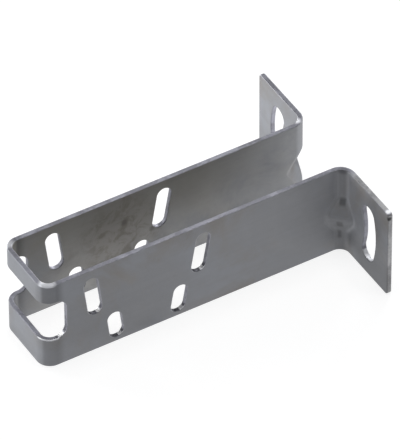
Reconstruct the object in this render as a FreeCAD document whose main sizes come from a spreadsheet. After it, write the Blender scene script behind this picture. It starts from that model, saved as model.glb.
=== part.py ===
import FreeCAD, Part
import math
import os
import Sketcher

# Mounting bracket, bent from one strip of steel sheet, in millimetres.
#
# The strip is folded into a hat: a nose, two side walls and two ears that turn outwards.
# It lies on its long edges, as it is seen, so the strip's width runs along Z.
# X runs from the surface that the ears are bolted to, out to the nose.
# Y runs across the channel. The origin is the centre of the circle of the ears' slots,
# in the plane of the ears' back faces, halfway up the strip.

# Driving dimensions
sizes = {
    # The strip and its folds
    "thickness": 2.0,
    "strip_width": 40.0,  # height of every face
    "reach": 130.0,  # back faces of the ears to the front of the nose
    "channel_width": 30.0,  # over the two side walls
    "ear_span": 91.0,  # over the ends of the two ears
    "nose_bend": 3.6,  # inside radius of the two folds at the nose
    "ear_bend": 4.2,  # inside radius of the two folds at the ears
    "ear_corner": 1.4,  # rounding of the four corners of the ears
    "edge_round": 0.4,  # softened edges of the strip
    # The opening that runs round the nose into both side walls
    "window_sill": 13.2,  # its lower edge above the bottom edge of the strip
    "window_height": 18.0,
    "window_reach": 9.8,  # front of the nose to the opening's ends in the side walls
    "window_corner": 4.2,
    # Four leaning slots in each side wall
    "slot_width": 5.9,
    "slot_group": 43.8,  # front of the nose to the middle of the group
    "high_slot_length": 18.0,
    "high_slot_spacing": 45.6,
    "high_slot_drop": 13.1,  # middle of the slot below the top edge of the strip
    "low_slot_length": 12.3,
    "low_slot_spacing": 27.0,
    "low_slot_rise": 8.3,  # middle of the slot above the bottom edge of the strip
    "front_lean": 7.0,  # degrees, by which the slots next to the nose lean towards it
    "rear_lean": 10.0,  # degrees, by which the others lean towards the ears
    # A curved slot in each ear, on one circle about the middle of the bracket
    "ear_slot_circle": 33.05,  # radius of the slot's middle line
    "ear_slot_width": 7.8,
    "ear_slot_rise": 9.0,  # middle of the slot up to the centre of its end
    # A stiffening dent pressed into each ear's fold
    "dent_rise": 18.0,  # bottom of the dent above the bottom edge of the strip
    "dent_depth": 6.2,  # sharp corner of the fold to the bottom of the dent
    "dent_round": 1.6,  # inside radius along the bottom of the dent
    "dent_slope": 25.0,  # degrees, between the dent's flanks and the line of the fold
    "dent_blend": 3.0,  # rounding where the dent and its rib run out into the strip
}

doc = FreeCAD.newDocument("mounting_bracket")
sheet = doc.addObject("Spreadsheet::Sheet", "Sizes")
for row, (alias, value) in enumerate(sizes.items(), start=1):
    sheet.set(f"A{row}", alias.replace("_", " "))
    sheet.set(f"B{row}", str(value))
    sheet.setAlias(f"B{row}", alias)
doc.recompute()

body = doc.addObject("PartDesign::Body", "bracket")
body.Label = "bracket"


# Expressions. They are written with the sheet's own words, such as reach - thickness.
def cells(text):
    """The expression with each word turned into its cell of the sheet."""
    words = text.replace("(", " ( ").replace(")", " ) ").split()
    return " ".join(f"Sizes.{word}" if word in sizes else word for word in words)


def worth(text):
    """What the expression comes to with the sizes as they stand."""
    return float(body.evalExpression(cells(text)))


# Sketching
def new_sketch(name, plane):
    """An empty sketch on one of the body's own planes."""
    sketch = body.newObject("Sketcher::SketchObject", name)
    roles = {feature.Role: feature for feature in body.Origin.OriginFeatures}
    sketch.AttachmentSupport = (roles[plane], [""])
    sketch.MapMode = "FlatFace"
    return sketch


def tie(sketch, kind, *places, to):
    """A dimension of the sketch that follows an expression."""
    value = worth(to)
    if kind == "Angle":
        value = math.radians(value)
    index = sketch.addConstraint(Sketcher.Constraint(kind, *places, value))
    sketch.setExpression(f"Constraints[{index}]", cells(to))


# Places on a sketched line or arc, and the sketch's own axes
START, END, CENTRE = range(1, 4)
X_AXIS, Y_AXIS = range(-1, -3, -1)
ORIGIN = (X_AXIS, START)

# Points nearer than this are the same point
SAME = 1e-6


def place(sketch, kind, shape, point, to):
    """Sets a point of a shape at a distance from the sketch's origin."""
    if abs(worth(to)) > SAME:
        tie(sketch, kind, *ORIGIN, shape, point, to=to)
        return
    axis = Y_AXIS if kind == "DistanceX" else X_AXIS
    sketch.addConstraint(Sketcher.Constraint("PointOnObject", shape, point, axis))


def square_outline(sketch, corners):
    """A closed outline whose sides run along the axes.

    Each corner is its two coordinates and its radius, as expressions, or None if sharp.
    """
    spots = [FreeCAD.Vector(worth(x), worth(y), 0) for x, y, radius in corners]
    radii = [worth(radius) if radius else 0 for x, y, radius in corners]
    count = len(corners)

    def off_corner(here, towards):
        """The point where a side leaves its corner's rounding."""
        along = (spots[towards] - spots[here]).normalize()
        return spots[here] + along * radii[here]

    sides = []
    for here in range(count):
        after = (here + 1) % count
        line = Part.LineSegment(off_corner(here, after), off_corner(after, here))
        side = sketch.addGeometry(line)
        sides.append(side)
        x, y, radius = corners[here]
        if abs(spots[here].y - spots[after].y) < SAME:
            sketch.addConstraint(Sketcher.Constraint("Horizontal", side))
            place(sketch, "DistanceY", side, START, y)
        else:
            sketch.addConstraint(Sketcher.Constraint("Vertical", side))
            place(sketch, "DistanceX", side, START, x)

    for here in range(count):
        before = sides[here - 1]
        after = sides[here]
        if radii[here] == 0:
            sketch.addConstraint(Sketcher.Constraint("Coincident", before, END, after, START))
            continue
        first = off_corner(here, here - 1)
        last = off_corner(here, (here + 1) % count)
        centre = first + last - spots[here]
        middle = centre + (spots[here] - centre).normalize() * radii[here]
        arc = sketch.addGeometry(Part.Arc(first, middle, last))
        starts_first = sketch.getPoint(arc, START).distanceToPoint(first) < SAME
        near, far = (START, END) if starts_first else (END, START)
        sketch.addConstraint(Sketcher.Constraint("Tangent", before, END, arc, near))
        sketch.addConstraint(Sketcher.Constraint("Tangent", after, START, arc, far))
        tie(sketch, "Radius", arc, to=corners[here][2])


def leaning_slot(sketch, x, y, length, width, lean):
    """A slot with round ends, whose top leans towards +X by so many degrees."""
    angle = math.radians(worth(lean))
    upward = FreeCAD.Vector(math.sin(angle), math.cos(angle), 0)
    across = FreeCAD.Vector(upward.y, -upward.x, 0)
    middle = FreeCAD.Vector(worth(x), worth(y), 0)
    radius = worth(width) / 2
    half = worth(length) / 2 - radius
    top = middle + upward * half
    bottom = middle - upward * half
    right = sketch.addGeometry(Part.LineSegment(bottom + across * radius, top + across * radius))
    left = sketch.addGeometry(Part.LineSegment(top - across * radius, bottom - across * radius))
    ends = []
    for centre, side, outward in ((top, across, upward), (bottom, across * -1, upward * -1)):
        arc = Part.Arc(centre + side * radius, centre + outward * radius, centre - side * radius)
        ends.append(sketch.addGeometry(arc))
    upper, lower = ends
    for arc, first, last in ((upper, right, left), (lower, left, right)):
        sketch.addConstraint(Sketcher.Constraint("Tangent", first, END, arc, START))
        sketch.addConstraint(Sketcher.Constraint("Tangent", last, START, arc, END))
    sketch.addConstraint(Sketcher.Constraint("Equal", upper, lower))
    tie(sketch, "Radius", upper, to=f"{width} / 2")
    spine = sketch.addGeometry(Part.LineSegment(bottom, top), True)
    sketch.addConstraint(Sketcher.Constraint("Coincident", spine, START, lower, CENTRE))
    sketch.addConstraint(Sketcher.Constraint("Coincident", spine, END, upper, CENTRE))
    tie(sketch, "Distance", spine, to=f"{length} - {width}")
    tie(sketch, "Angle", spine, to=f"90 - ( {lean} )")
    heart = sketch.addGeometry(Part.Point(middle), True)
    sketch.addConstraint(Sketcher.Constraint("Symmetric", spine, START, spine, END, heart, START))
    place(sketch, "DistanceX", heart, START, x)
    place(sketch, "DistanceY", heart, START, y)


def curved_slot(sketch, circle, width, rise):
    """A slot with round ends, along a circle about the sketch's origin."""
    radius = worth(width) / 2
    half_angle = math.asin(worth(rise) / worth(circle))

    def spot(distance, angle):
        return FreeCAD.Vector(math.cos(angle), math.sin(angle), 0) * distance

    rims = []
    for distance in (worth(circle) - radius, worth(circle) + radius):
        arc = Part.Arc(spot(distance, -half_angle), spot(distance, 0), spot(distance, half_angle))
        rims.append(sketch.addGeometry(arc))
    inner, outer = rims
    ends = []
    for angle in (half_angle, -half_angle):
        centre = spot(worth(circle), angle)
        outward = FreeCAD.Vector(-math.sin(angle), math.cos(angle), 0) * math.copysign(radius, angle)
        near = spot(worth(circle) - radius, angle)
        far = spot(worth(circle) + radius, angle)
        first, last = (far, near) if angle > 0 else (near, far)
        ends.append(sketch.addGeometry(Part.Arc(first, centre + outward, last)))
    upper, lower = ends
    sketch.addConstraint(Sketcher.Constraint("Tangent", outer, END, upper, START))
    sketch.addConstraint(Sketcher.Constraint("Tangent", inner, END, upper, END))
    sketch.addConstraint(Sketcher.Constraint("Tangent", inner, START, lower, START))
    sketch.addConstraint(Sketcher.Constraint("Tangent", outer, START, lower, END))
    sketch.addConstraint(Sketcher.Constraint("Coincident", inner, CENTRE, outer, CENTRE))
    sketch.addConstraint(Sketcher.Constraint("Coincident", inner, CENTRE, *ORIGIN))
    tie(sketch, "Radius", inner, to=f"{circle} - {width} / 2")
    tie(sketch, "Radius", outer, to=f"{circle} + {width} / 2")
    place(sketch, "DistanceY", upper, CENTRE, rise)
    place(sketch, "DistanceY", lower, CENTRE, f"- {rise}")


def wedge(sketch, depth, rounding, slope, level):
    """A flat V that stands on the vertical axis, with its round nose at a level."""
    angle = math.radians(worth(slope))
    radius = worth(rounding)
    centre = FreeCAD.Vector(worth(depth) - radius, worth(level), 0)
    nose = centre + FreeCAD.Vector(radius, 0, 0)
    touch = FreeCAD.Vector(math.cos(angle), math.sin(angle), 0) * radius
    rise = touch.y + (centre.x + touch.x) / math.tan(angle)
    top = FreeCAD.Vector(0, centre.y + rise, 0)
    bottom = FreeCAD.Vector(0, centre.y - rise, 0)
    high = centre + touch
    low = centre + FreeCAD.Vector(touch.x, -touch.y, 0)
    foot = sketch.addGeometry(Part.LineSegment(top, bottom))
    lower = sketch.addGeometry(Part.LineSegment(bottom, low))
    round_nose = sketch.addGeometry(Part.Arc(low, nose, high))
    upper = sketch.addGeometry(Part.LineSegment(high, top))
    sketch.addConstraint(Sketcher.Constraint("Coincident", foot, END, lower, START))
    sketch.addConstraint(Sketcher.Constraint("Coincident", upper, END, foot, START))
    sketch.addConstraint(Sketcher.Constraint("Tangent", lower, END, round_nose, START))
    sketch.addConstraint(Sketcher.Constraint("Tangent", upper, START, round_nose, END))
    sketch.addConstraint(Sketcher.Constraint("PointOnObject", foot, START, Y_AXIS))
    sketch.addConstraint(Sketcher.Constraint("PointOnObject", foot, END, Y_AXIS))
    tie(sketch, "Radius", round_nose, to=rounding)
    place(sketch, "DistanceX", round_nose, CENTRE, f"{depth} - ( {rounding} )")
    place(sketch, "DistanceY", round_nose, CENTRE, level)
    tie(sketch, "Angle", lower, to=f"90 - {slope}")
    tie(sketch, "Angle", upper, to=f"90 + {slope}")


# Features of the body
def pad(name, sketch, length):
    """Adds metal to both sides of the sketch, over the length in all."""
    feature = body.newObject("PartDesign::Pad", name)
    feature.Profile = sketch
    feature.Type = "Length"
    feature.SideType = "Symmetric"
    feature.setExpression("Length", cells(length))
    return checked(feature)


def cut(name, sketch, length):
    """Takes metal away to both sides of the sketch, over the length in all."""
    feature = body.newObject("PartDesign::Pocket", name)
    feature.Profile = sketch
    feature.Type = "Length"
    feature.SideType = "Symmetric"
    feature.setExpression("Length", cells(length))
    return checked(feature)


def on_both_sides(name, feature):
    """Repeats a feature of the +Y side on the -Y side."""
    mirrored = body.newObject("PartDesign::Mirrored", name)
    roles = {plane.Role: plane for plane in body.Origin.OriginFeatures}
    mirrored.Originals = [feature]
    mirrored.MirrorPlane = (roles["XZ_Plane"], [""])
    return checked(mirrored)


def rounded(name, base, edges, radius):
    """Rounds edges of the body as it stands."""
    feature = body.newObject("PartDesign::Fillet", name)
    feature.Base = (base, edges)
    feature.setExpression("Radius", cells(radius))
    return checked(feature)


def checked(feature):
    """The feature, after a recompute that has to leave the body whole and changed."""
    before = feature.BaseFeature.Shape.Volume if feature.BaseFeature else 0
    body.Tip = feature
    doc.recompute()
    if not feature.isValid() or feature.Shape.isNull() or not feature.Shape.isValid():
        raise RuntimeError(f"{feature.Name} failed")
    if abs(feature.Shape.Volume - before) < SAME:
        raise RuntimeError(f"{feature.Name} changes nothing")
    return feature


def edges_of(feature, wanted):
    """The names of the feature's edges that pass a test."""
    return [f"Edge{n}" for n, edge in enumerate(feature.Shape.Edges, start=1) if wanted(edge)]


# The folded strip: the outer form as a block, with the inside of the fold taken out of it.
# The block reaches behind the ears, so that the same cut shapes their back faces.
outer = new_sketch("outer_form", "XY_Plane")
square_outline(outer, [
    ("- thickness", "ear_span / 2", None),
    ("- thickness", "- ear_span / 2", None),
    ("thickness", "- ear_span / 2", None),
    ("thickness", "- channel_width / 2", "ear_bend"),
    ("reach", "- channel_width / 2", "nose_bend + thickness"),
    ("reach", "channel_width / 2", "nose_bend + thickness"),
    ("thickness", "channel_width / 2", "ear_bend"),
    ("thickness", "ear_span / 2", None),
])
block = pad("block", outer, "strip_width")


# The dent in each ear's fold shows as a rib on the outside of the fold. Both are drawn in
# the upright plane through the fold's corner, halfway between the wall and the ear.
def fold_sketch(name):
    """A sketch in that plane, with its origin at the sharp corner inside the fold."""
    sketch = new_sketch(name, "XZ_Plane")
    turned = FreeCAD.Rotation(FreeCAD.Vector(0, 1, 0), 45)
    sketch.AttachmentOffset = FreeCAD.Placement(FreeCAD.Vector(), turned)
    sketch.setExpression("AttachmentOffset.Base.z", cells("thickness - channel_width / 2"))
    return sketch


DENT_LEVEL = "dent_rise - strip_width / 2"
rib_form = fold_sketch("rib_form")
wedge(rib_form, "dent_depth + thickness", "dent_round + thickness", "dent_slope", DENT_LEVEL)
rib = pad("rib", rib_form, "2 * ( dent_depth + thickness )")
on_both_sides("ribs", rib)

inner = new_sketch("inner_form", "XY_Plane")
square_outline(inner, [
    ("- 4 * thickness", "ear_span", None),
    ("- 4 * thickness", "- ear_span", None),
    ("0", "- ear_span", None),
    ("0", "thickness - channel_width / 2", "ear_bend + thickness"),
    ("reach - thickness", "thickness - channel_width / 2", "nose_bend"),
    ("reach - thickness", "channel_width / 2 - thickness", "nose_bend"),
    ("0", "channel_width / 2 - thickness", "ear_bend + thickness"),
    ("0", "ear_span", None),
])
cut("inside_of_fold", inner, "4 * strip_width")

dent_form = fold_sketch("dent_form")
wedge(dent_form, "dent_depth", "dent_round", "dent_slope", DENT_LEVEL)
dent = cut("dent", dent_form, "2 * ( dent_depth + thickness )")
dents = on_both_sides("dents", dent)


def is_dent_border(edge):
    """True for the edges round a dent or its rib, the only ones that run at a slant."""
    box = edge.BoundBox
    return box.ZLength > SAME and max(box.XLength, box.YLength) > SAME


rounded("dent_borders", dents, edges_of(dents, is_dent_border), "dent_blend")

# The opening round the nose
WINDOW_FOOT = "window_sill - strip_width / 2"
window = new_sketch("window_outline", "XZ_Plane")
square_outline(window, [
    ("reach - window_reach", WINDOW_FOOT, "window_corner"),
    ("reach + thickness", WINDOW_FOOT, None),
    ("reach + thickness", f"{WINDOW_FOOT} + window_height", None),
    ("reach - window_reach", f"{WINDOW_FOOT} + window_height", "window_corner"),
])
cut("window", window, "2 * channel_width")

# The slots in the side walls
slots = new_sketch("slot_outlines", "XZ_Plane")
for end, lean in (("+", "front_lean"), ("-", "- rear_lean")):
    leaning_slot(
        slots, f"reach - slot_group {end} high_slot_spacing / 2",
        "strip_width / 2 - high_slot_drop",
        "high_slot_length", "slot_width", lean,
    )
    leaning_slot(
        slots, f"reach - slot_group {end} low_slot_spacing / 2",
        "low_slot_rise - strip_width / 2",
        "low_slot_length", "slot_width", lean,
    )
cut("wall_slots", slots, "2 * channel_width")

# The slots in the ears
ear_slot_form = new_sketch("ear_slot_outline", "YZ_Plane")
curved_slot(ear_slot_form, "ear_slot_circle", "ear_slot_width", "ear_slot_rise")
ear_slot = cut("ear_slot", ear_slot_form, "4 * thickness")
ear_slots = on_both_sides("ear_slots", ear_slot)


# Corners and edges
def is_ear_corner(edge):
    """True for the short edges at the four corners of the ears."""
    middle = edge.CenterOfMass
    at_end = abs(abs(middle.y) - worth("ear_span") / 2) < SAME
    at_height = abs(abs(middle.z) - worth("strip_width") / 2) < SAME
    return at_end and at_height and abs(edge.Length - worth("thickness")) < SAME


corners = rounded("ear_corners", ear_slots, edges_of(ear_slots, is_ear_corner), "ear_corner")

outlines = [window.Shape, slots.Shape]
ear_outline = ear_slot_form.Shape


def is_rim(edge):
    """True for edges where a sheared or punched side of the strip meets its face."""
    middle = edge.valueAt((edge.FirstParameter + edge.LastParameter) / 2)
    box = edge.BoundBox
    if box.ZLength < SAME and abs(abs(middle.z) - worth("strip_width") / 2) < SAME:
        return True
    if box.XLength < SAME and abs(middle.y) > worth("ear_span") / 2 - worth("ear_corner") - SAME:
        return True
    in_wall = Part.Vertex(middle.x, 0, middle.z)
    if any(outline.distToShape(in_wall)[0] < SAME for outline in outlines):
        return box.XLength > SAME or box.ZLength > SAME
    in_ear = Part.Vertex(0, abs(middle.y), middle.z)
    return ear_outline.distToShape(in_ear)[0] < SAME and box.XLength < SAME


rounded("soft_edges", corners, edges_of(corners, is_rim), "edge_round")

# Every object has to be sound before anything is written
doc.recompute()
for item in doc.Objects:
    if "Invalid" in item.State or "Error" in item.State:
        raise RuntimeError(f"{item.Name}: {item.State}")
if body.Shape.isNull() or not body.Shape.isValid() or len(body.Shape.Solids) != 1:
    raise RuntimeError("bracket is not one sound solid")

os.makedirs("parts", exist_ok=True)
body.Shape.exportStep(f"parts/{body.Label}.step")
print(f"volume {body.Shape.Volume:.0f} mm3, box {body.Shape.BoundBox}")
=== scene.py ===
from math import radians

import bpy
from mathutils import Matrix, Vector


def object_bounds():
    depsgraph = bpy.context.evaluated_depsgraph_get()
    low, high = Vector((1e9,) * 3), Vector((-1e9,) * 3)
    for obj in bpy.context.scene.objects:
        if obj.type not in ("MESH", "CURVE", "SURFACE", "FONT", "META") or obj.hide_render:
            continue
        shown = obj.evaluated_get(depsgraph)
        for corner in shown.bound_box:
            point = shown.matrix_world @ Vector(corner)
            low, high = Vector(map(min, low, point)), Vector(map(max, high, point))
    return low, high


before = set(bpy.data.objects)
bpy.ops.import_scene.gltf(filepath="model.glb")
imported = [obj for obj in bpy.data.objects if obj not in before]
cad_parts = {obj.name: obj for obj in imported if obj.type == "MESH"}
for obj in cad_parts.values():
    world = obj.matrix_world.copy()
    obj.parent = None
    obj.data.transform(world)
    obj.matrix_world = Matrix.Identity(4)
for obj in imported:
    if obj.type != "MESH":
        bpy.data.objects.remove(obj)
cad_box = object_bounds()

# The bracket
# One strip of 2 mm steel sheet, sheared to width, punched and folded into a hat. The rolled
# faces keep their dull mill finish, with stained press oil inside the channel, and the sheared
# and punched edges are cleaner metal.
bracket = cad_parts["bracket"]

# Places on it, in metres: forward from the backs of the ears to the nose, to the left of the
# channel's middle, and up from half its height
NOSE_FRONT, EAR_END, TOP = cad_box[1]
UNDERSIDE = cad_box[0].z
SHEET = 0.002
NOSE_BACK = NOSE_FRONT - SHEET
EAR_FRONT = SHEET
WALL_OUTSIDE = 0.015
WALL_INSIDE = WALL_OUTSIDE - SHEET
DENT_HEIGHT = -0.002

STEEL = (0.285, 0.29, 0.305, 1.0)
PALE_STEEL = (0.325, 0.335, 0.36, 1.0)
BROWNED = (0.28, 0.268, 0.258, 1.0)
FILM = (0.438, 0.433, 0.422, 1.0)
GREY_FILM = (0.405, 0.408, 0.415, 1.0)
SHADED_FILM = (0.292, 0.286, 0.266, 1.0)
STAIN = (0.185, 0.165, 0.140, 1.0)
SHEARED = (0.305, 0.307, 0.35, 1.0)
TORN = (0.21, 0.21, 0.24, 1.0)
GREY_SHEARED = (0.375, 0.375, 0.375, 1.0)
GREY_TORN = (0.25, 0.25, 0.255, 1.0)
NEAR_BLACK = (0.09, 0.09, 0.10, 1.0)
HIGHLIGHT = (0.94, 0.95, 0.99, 1.0)
DARK = (0.05, 0.05, 0.05, 1.0)

steel = bpy.data.materials.new("steel")
steel.use_nodes = True
nodes = steel.node_tree.nodes
links = steel.node_tree.links
surface = nodes["Principled BSDF"]
surface.inputs["Metallic"].default_value = 1.0
coordinates = nodes.new("ShaderNodeTexCoord")
geometry = nodes.new("ShaderNodeNewGeometry")


def feed(socket, value):
    """Sets a socket to a number or a colour, or links another node's output to it."""
    if isinstance(value, (int, float, tuple)):
        socket.default_value = value
    else:
        links.new(value, socket)


def maths(operation, *values):
    """A Math node on numbers or outputs."""
    node = nodes.new("ShaderNodeMath")
    node.operation = operation
    for socket, value in zip(node.inputs, values):
        feed(socket, value)
    return node.outputs["Value"]


def times(product, *others):
    """All the values multiplied."""
    for other in others:
        product = maths("MULTIPLY", product, other)
    return product


def most(largest, *others):
    """The largest of the values."""
    for other in others:
        largest = maths("MAXIMUM", largest, other)
    return largest


def raised(base_value, value, strength):
    """The first value, with the second added at a strength."""
    return maths("MULTIPLY_ADD", value, strength, base_value)


def varied(base_value, noise, strength):
    """The first value, moved up and down by a noise at a strength."""
    return raised(base_value, maths("SUBTRACT", noise, 0.5), strength)


def ramp(value, none, full):
    """0 where the value is at none or beyond it, 1 at full or beyond it, smooth between."""
    node = nodes.new("ShaderNodeMapRange")
    node.interpolation_type = "SMOOTHSTEP"
    links.new(value, node.inputs["Value"])
    node.inputs["From Min"].default_value = none
    node.inputs["From Max"].default_value = full
    return node.outputs["Result"]


def mottle(scale, detail, rough, warp=0.0, stretch=(1, 1, 1)):
    """Noise over the bracket, from 0 to 1, with its cells stretched along the axes."""
    mapping = nodes.new("ShaderNodeMapping")
    mapping.inputs["Scale"].default_value = stretch
    links.new(coordinates.outputs["Object"], mapping.inputs["Vector"])
    noise = nodes.new("ShaderNodeTexNoise")
    links.new(mapping.outputs["Vector"], noise.inputs["Vector"])
    noise.inputs["Scale"].default_value = scale
    noise.inputs["Detail"].default_value = detail
    noise.inputs["Roughness"].default_value = rough
    noise.inputs["Distortion"].default_value = warp
    return noise.outputs["Fac"]


def tint(under, over, share):
    """The colour under, turned into the one over it by the share."""
    node = nodes.new("ShaderNodeMix")
    node.data_type = "RGBA"
    feed(node.inputs["A"], under)
    feed(node.inputs["B"], over)
    links.new(share, node.inputs["Factor"])
    return node.outputs["Result"]


def distance_from(point):
    """How far the surface is from a point of the bracket."""
    node = nodes.new("ShaderNodeVectorMath")
    node.operation = "DISTANCE"
    links.new(coordinates.outputs["Object"], node.inputs[0])
    node.inputs[1].default_value = point
    return node.outputs["Value"]


def near(point, full, gone):
    """1 round the point out to one distance, fading to 0 at another."""
    return ramp(distance_from(point), gone, full)


# Where the surface is, and which way it faces: 1 is square on to a direction, 0 is along it
spot = nodes.new("ShaderNodeSeparateXYZ")
links.new(coordinates.outputs["Object"], spot.inputs["Vector"])
forward = spot.outputs["X"]
left = spot.outputs["Y"]
height = spot.outputs["Z"]
off_middle = maths("ABSOLUTE", left)
facing = nodes.new("ShaderNodeSeparateXYZ")
links.new(geometry.outputs["Normal"], facing.inputs["Vector"])
faces_forward = facing.outputs["X"]
faces_left = facing.outputs["Y"]
faces_up = facing.outputs["Z"]
faces_lengthwise = maths("ABSOLUTE", faces_forward)
faces_sideways = maths("ABSOLUTE", faces_left)
faces_upright = maths("ABSOLUTE", faces_up)

# The sheared and punched faces: across the sheet's thickness, wherever it is folded to. Within
# the walls, the ears and the nose they are told from the rolled faces by how they face.
WALLS_FROM = 0.0300
WALLS_TO = 0.1248
EARS_FROM = 0.0250
NOSE_FROM = NOSE_BACK + 0.0004
NOSE_SIDES = 0.0095
FADE = 0.0006
ROLLED = 0.92
PUNCHED = 0.70
in_walls = times(
    ramp(forward, WALLS_FROM, WALLS_FROM + FADE), ramp(forward, WALLS_TO, WALLS_TO - FADE)
)
in_ears = ramp(off_middle, EARS_FROM, EARS_FROM + FADE)
in_nose = times(
    ramp(forward, NOSE_FROM, NOSE_FROM + FADE), ramp(off_middle, NOSE_SIDES, NOSE_SIDES - 0.0005)
)
cut_in_wall = times(in_walls, ramp(faces_sideways, ROLLED, PUNCHED))
cut_in_flat = times(most(in_ears, in_nose), ramp(faces_lengthwise, ROLLED, PUNCHED))
long_edge = ramp(faces_upright, 0.75, 0.95)
cut = most(long_edge, cut_in_wall, cut_in_flat)

# The rolled faces: slow blotches of the mill's oxide, finer mottle in them, and rolling streaks
cloud = mottle(scale=26.0, detail=4.0, rough=0.55, warp=0.4)
fleck = mottle(scale=150.0, detail=3.0, rough=0.6)
streak = mottle(scale=60.0, detail=3.0, rough=0.6, stretch=(0.06, 0.06, 6.0))
brown_cloud = mottle(scale=31.0, detail=5.0, rough=0.62, warp=0.5)
colour = tint(STEEL, PALE_STEEL, ramp(cloud, 0.42, 0.66))
colour = tint(colour, BROWNED, times(ramp(brown_cloud, 0.48, 0.70), 0.8))

# The film of press oil inside the channel, and painted shade along the walls' top inside it, in a
# darker film colour
in_channel = times(
    ramp(off_middle, WALL_INSIDE + 0.0002, WALL_INSIDE - 0.0001),
    ramp(forward, NOSE_BACK + 0.0004, NOSE_BACK),
)
film_cloud = mottle(scale=34.0, detail=5.0, rough=0.6, warp=0.8)
film = times(in_channel, ramp(film_cloud, 0.30, 0.60), ramp(forward, 0.132, 0.108))
colour = tint(colour, tint(FILM, GREY_FILM, ramp(forward, 0.050, 0.022)), film)
along_top = times(ramp(height, -0.006, 0.018), ramp(forward, 0.012, 0.060))
film_shade = times(in_channel, along_top, ramp(film_cloud, 0.20, 0.52))
colour = tint(colour, SHADED_FILM, film_shade)

# A brown stain in the film on the right wall, with blots and two dark spots in it
STAIN_MIDDLE = (0.081, -WALL_INSIDE, 0.001)
DARK_SPOT_SHARE = 0.45
stain_fringe = mottle(scale=90.0, detail=4.0, rough=0.65)
stain_reach = raised(distance_from(STAIN_MIDDLE), stain_fringe, 0.022)
stain = times(in_channel, ramp(stain_reach, 0.036, 0.018))
blots = ramp(mottle(scale=170.0, detail=4.0, rough=0.7, warp=0.6), 0.44, 0.60)
colour = tint(colour, STAIN, times(stain, raised(0.35, blots, 0.50)))
for point, full, gone in (
    ((0.0795, -WALL_INSIDE, 0.0072), 0.0004, 0.0022),
    ((0.0677, -WALL_INSIDE, -0.0014), 0.0003, 0.0018),
):
    colour = tint(colour, DARK, times(near(point, full, gone), in_channel, DARK_SPOT_SHARE))

# The sheared faces, with torn and burnished patches
tear = mottle(scale=330.0, detail=3.0, rough=0.7)
slow_tear = mottle(scale=110.0, detail=2.0, rough=0.6)
untorn = ramp(varied(tear, slow_tear, 0.8), 0.36, 0.64)
colour = tint(colour, tint(TORN, SHEARED, untorn), times(cut, 0.9))

# A painted reflection at the foot of each slot in the left wall: a painted highlight where the foot
# faces half forward, and painted shade beside that
in_left_wall = ramp(left, 0.012, 0.013)
slot_foot = times(cut_in_wall, in_left_wall, ramp(faces_up, 0.25, 0.45), ramp(height, 0.016, 0.014))
glint_over_shade = times(ramp(faces_forward, 0.20, 0.34), ramp(faces_forward, 0.80, 0.66))
colour = tint(colour, tint(NEAR_BLACK, HIGHLIGHT, glint_over_shade), times(slot_foot, 0.8))

# Painted shade in the hollow of each ear's fold, as dark patches: each has two heights that it lies
# between, how far it lies past the fold's corner, and how dark it is
in_hollow = ramp(faces_forward, 0.25, 0.45)
past_corner = maths("ADD", maths("SUBTRACT", forward, off_middle), WALL_OUTSIDE - EAR_FRONT)
for lowest, highest, offset, share in (
    (0.0036, 0.0062, -0.0002, 0.48),
    (-0.0064, -0.0030, 0.0006, 0.40),
    (-0.0137, -0.0100, 0.0022, 0.40),
):
    above = ramp(height, lowest - 0.0010, lowest + 0.0008)
    below = ramp(height, highest + 0.0010, highest - 0.0008)
    aside = maths("ABSOLUTE", maths("SUBTRACT", past_corner, offset))
    shade_patch = times(above, below, ramp(aside, 0.0024, 0.0010), in_hollow)
    colour = tint(colour, DARK, times(shade_patch, share))

# The ears' edges: greyer than the walls', and dark at the root and the corner of the left one
ear_end_face = times(
    ramp(off_middle, EAR_END - 0.0006, EAR_END - 0.0002),
    ramp(faces_lengthwise, 0.9, 0.5),
)
within_ear = ramp(forward, EAR_FRONT + 0.002, EAR_FRONT)
left_ear_edge = times(long_edge, within_ear, ramp(left, 0.0175, 0.0225))
left_ear_root = near((0.0034, 0.0163, TOP - 0.0001), full=0.0009, gone=0.0028)
left_ear_corner = near((0.0015, EAR_END, TOP - 0.0022), full=0.0004, gone=0.0014)
ear_edges = times(most(ear_end_face, left_ear_edge), 0.85)
colour = tint(colour, NEAR_BLACK, times(left_ear_root, 0.55))
colour = tint(colour, tint(GREY_TORN, GREY_SHEARED, untorn), ear_edges)
colour = tint(colour, DARK, left_ear_corner)

# The ears' slots: a painted highlight at their lower end, and a burr in the left one
in_ear_slot = times(
    cut_in_flat,
    ramp(off_middle, 0.026, 0.0265),
    ramp(off_middle, 0.042, 0.040),
    ramp(maths("ABSOLUTE", height), TOP - 0.001, TOP - 0.002),
)
burr = near((0.001, 0.0289, -0.0098), full=0.0004, gone=0.0013)
colour = tint(colour, HIGHLIGHT, times(in_ear_slot, ramp(height, -0.0104, -0.0112)))
colour = tint(colour, DARK, times(burr, 0.85))

# Painted highlights: on the sill of the window by the left wall, and on the top rim at the nose's
# folds, at the root of the right ear and at the end of the left one
sill_rim = times(ramp(height, -0.0074, -0.0070), ramp(faces_upright, 0.99, 0.93))
painted_highlights = times(near((0.1270, WALL_INSIDE, -0.0068), full=0.0035, gone=0.0045), sill_rim)
top_rim = ramp(height, TOP - 0.0010, TOP - 0.0005)
for forwards, leftwards, full, gone in (
    (0.1270, 0.0130, 0.0018, 0.0040),
    (0.1283, -0.0134, 0.0002, 0.0036),
    (0.0037, -0.0158, 0.0004, 0.0023),
    (0.0010, 0.0439, 0.0003, 0.0016),
):
    painted_highlights = most(painted_highlights, times(near((forwards, leftwards, TOP), full, gone), top_rim))
colour = tint(colour, HIGHLIGHT, painted_highlights)
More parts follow.
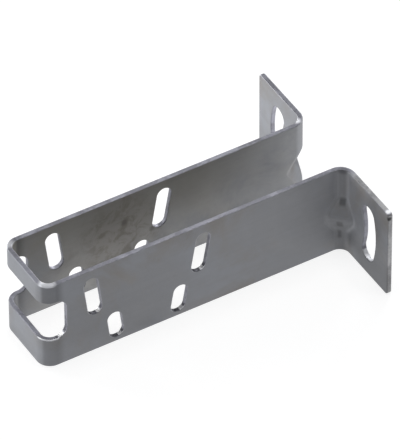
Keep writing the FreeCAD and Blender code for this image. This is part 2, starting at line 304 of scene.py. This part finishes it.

# Painted light: the right ear, the root of the left one, and what faces back between them are made
# lighter
across_root = times(ramp(left, 0.0165, 0.0185), ramp(left, 0.036, 0.022))
root = times(across_root, ramp(faces_lengthwise, 0.78, 0.97), 1.5)
root = times(root, raised(1.0, ramp(left, 0.0235, 0.0195), 0.3))
wall_root = times(ramp(forward, 0.0140, 0.0080), ramp(faces_left, 0.85, 0.97))
root = times(raised(root, wall_root, 0.3), ramp(height, -0.013, -0.004))
right_ear = ramp(left, -0.016, -0.020)
fold_back = times(ramp(faces_forward, 0.00, -0.30), ramp(off_middle, 0.020, 0.017))
painted_light_and_shade = most(root, right_ear, times(fold_back, 1.5))

# More places made lighter and darker: the right ear's slot and edges, a painted highlight on the
# top rim, the rear side of each wall slot in painted shade, the nose, and painted light on the sill
# of the window
right_ear_slot = times(in_ear_slot, ramp(left, -0.020, -0.022))
rim_highlight = times(
    ramp(height, TOP - 0.0006, TOP - 0.0003),
    ramp(faces_upright, 0.10, 0.35),
    ramp(faces_upright, 0.92, 0.80),
)
in_right_wall = ramp(left, -0.010, -0.012)
right_slot_rear = times(cut_in_wall, in_right_wall, ramp(faces_forward, 0.2, 0.6))
clear_of_window = ramp(forward, 0.118, 0.116)
left_slot_rear = times(
    cut_in_wall, clear_of_window, ramp(left, 0.010, 0.012), ramp(faces_forward, 0.80, 0.95)
)
right_ear_edge = times(long_edge, within_ear, ramp(left, -0.014, -0.020))
nose = ramp(forward, NOSE_FROM, NOSE_FROM + 0.0010)
sill = times(
    ramp(forward, 0.121, 0.123),
    ramp(faces_upright, 0.7, 0.9),
    ramp(height, 0.002, -0.002),
)

# Painted shade: a dark line along the nose's folds, and on the foot of the left ear
fold_shade = times(
    ramp(forward, 0.1205, 0.1245),
    ramp(forward, 0.1297, 0.1286),
    ramp(off_middle, 0.0110, 0.0127),
    raised(0.60, ramp(height, -0.004, 0.004), 0.40),
)
left_ear_foot = times(ramp(left, 0.020, 0.030), ramp(height, -0.002, -0.013))

# The ears' folds: painted shade along their hollow, painted light on the dent's upper side, and
# painted shade beside the left fold's dent
off_dent = maths("ABSOLUTE", maths("SUBTRACT", height, DENT_HEIGHT))
at_dent = ramp(off_dent, 0.0110, 0.0075)
off_corner = maths("ABSOLUTE", past_corner)
fold_line = times(
    ramp(off_corner, 0.0034, 0.0012), in_hollow, maths("SUBTRACT", 1.0, at_dent)
)
dent_top = times(
    ramp(off_corner, 0.0090, 0.0062), in_hollow, at_dent, ramp(faces_up, 0.24, 0.40)
)
wall_beside_dent = times(
    ramp(forward, 0.0150, 0.0110), ramp(faces_forward, 0.04, 0.20), ramp(faces_left, 0.4, 0.7)
)
ear_beside_dent = times(
    ramp(left, 0.0190, 0.0205), ramp(faces_left, 0.04, 0.20), ramp(faces_forward, 0.4, 0.7)
)
beside_dent = most(wall_beside_dent, ear_beside_dent)

# Above 0 is lighter, below 0 is darker
for patch, strength in (
    (right_ear_slot, 0.8),
    (rim_highlight, 0.5),
    (cut_in_wall, 0.8),
    (right_slot_rear, -1.6),
    (left_slot_rear, -0.45),
    (left_ear_edge, 0.42),
    (right_ear_edge, -1.3),
    (ear_end_face, 0.105),
    (nose, 0.26),
    (sill, 1.2),
    (fold_shade, -1.0),
    (left_ear_foot, -0.6),
    (fold_line, -0.3),
    (dent_top, 0.6),
    (beside_dent, -0.6),
):
    painted_light_and_shade = raised(painted_light_and_shade, patch, strength)
shade = varied(raised(1.0, painted_light_and_shade, 0.32), fleck, 0.35)
shade = times(shade, varied(1.0, streak, 0.12))
shaded = nodes.new("ShaderNodeVectorMath")
shaded.operation = "SCALE"
links.new(colour, shaded.inputs[0])
links.new(shade, shaded.inputs["Scale"])
links.new(shaded.outputs["Vector"], surface.inputs["Base Color"])

# Roughness: uneven on the rolled faces, smoother on the cut ones, rougher at the painted highlights
dull = varied(0.66, cloud, 0.25)
dull = varied(dull, fleck, 0.20)
dull = raised(dull, cut, -0.16)
dull = raised(dull, painted_highlights, 0.08)
links.new(dull, surface.inputs["Roughness"])

# Relief: rolling streaks, a fine grain, and the sheet's slight waves
grain = mottle(scale=2200.0, detail=2.0, rough=0.6)
relief = raised(streak, grain, 0.25)
relief = raised(relief, cloud, 2.0)
bump = nodes.new("ShaderNodeBump")
bump.inputs["Strength"].default_value = 0.35
bump.inputs["Distance"].default_value = 0.0002
links.new(relief, bump.inputs["Height"])
links.new(bump.outputs["Normal"], surface.inputs["Normal"])

bracket.data.materials.clear()
bracket.data.materials.append(steel)

# The table under it
# A plain white board, far larger than the view, that the bracket stands on with the long
# edges of the strip.
BOARD_SIZE = 8.0
GAP_UNDER_BRACKET = 0.0001
bpy.ops.object.select_all(action="DESELECT")
bpy.ops.mesh.primitive_plane_add(
    size=BOARD_SIZE, location=(NOSE_FRONT / 2, 0.0, UNDERSIDE - GAP_UNDER_BRACKET)
)
board = bpy.context.object
board.name = "board"

# It glows white where the camera or the steel sees it, and is grey under the lamps, so that it
# keeps the bracket's shadow
board_white = bpy.data.materials.new("board_white")
board_white.use_nodes = True
nodes = board_white.node_tree.nodes
links = board_white.node_tree.links
paint = nodes["Principled BSDF"]
paint.inputs["Base Color"].default_value = (0.3, 0.3, 0.3, 1.0)
paint.inputs["Roughness"].default_value = 0.9
paint.inputs["Emission Color"].default_value = (0.82, 0.82, 0.82, 1.0)
rays = nodes.new("ShaderNodeLightPath")
seen = most(
    rays.outputs["Is Camera Ray"],
    rays.outputs["Is Glossy Ray"],
    rays.outputs["Is Transmission Ray"],
)
links.new(seen, paint.inputs["Emission Strength"])
board.data.materials.append(board_white)

# Light
# Soft daylight from all round, a broad lamp low on the right and one overhead, and weaker
# lamps at the front and behind. All the lamps face a point near the bracket's middle.
world = bpy.data.worlds.new("room")
bpy.context.scene.world = world
world.use_nodes = True
daylight = world.node_tree.nodes["Background"]
daylight.inputs["Color"].default_value = (0.96, 0.97, 1.0, 1.0)
daylight.inputs["Strength"].default_value = 0.2

LAMPS_AIM = Vector((0.06, 0.0, 0.0))
LAMP_SIZE = 0.6
for name, stand, watts in (
    ("right_lamp", (0.45, -0.9, 0.12), 7.7),
    ("front_lamp", (1.1, -0.3, 0.12), 3.0),
    ("top_lamp", (0.0, 0.0, 1.2), 5.0),
    ("back_right_lamp", (-0.8, -0.8, 0.6), 4.0),
    ("back_left_lamp", (-0.8, 0.8, 0.6), 1.0),
):
    bpy.ops.object.light_add(type="AREA", location=stand)
    lamp = bpy.context.object
    lamp.name = name
    lamp.data.shape = "SQUARE"
    lamp.data.size = LAMP_SIZE
    lamp.data.energy = watts
    lamp.rotation_euler = (Vector(stand) - LAMPS_AIM).to_track_quat("Z", "Y").to_euler()

# Camera
# A long lens from far off, as in the photograph: high up on the left, ahead of the nose.
CAMERA_STAND = (1.024298, 1.636577, 1.766934)
CAMERA_TURN = (radians(47.22244), radians(0.25381), radians(149.12473))
bpy.ops.object.camera_add(location=CAMERA_STAND, rotation=CAMERA_TURN)
camera = bpy.context.object
camera.name = "camera"
camera.data.sensor_width = 36.0
camera.data.lens = 577.59
bpy.context.scene.camera = camera
bpy.context.scene.view_settings.view_transform = "Standard"
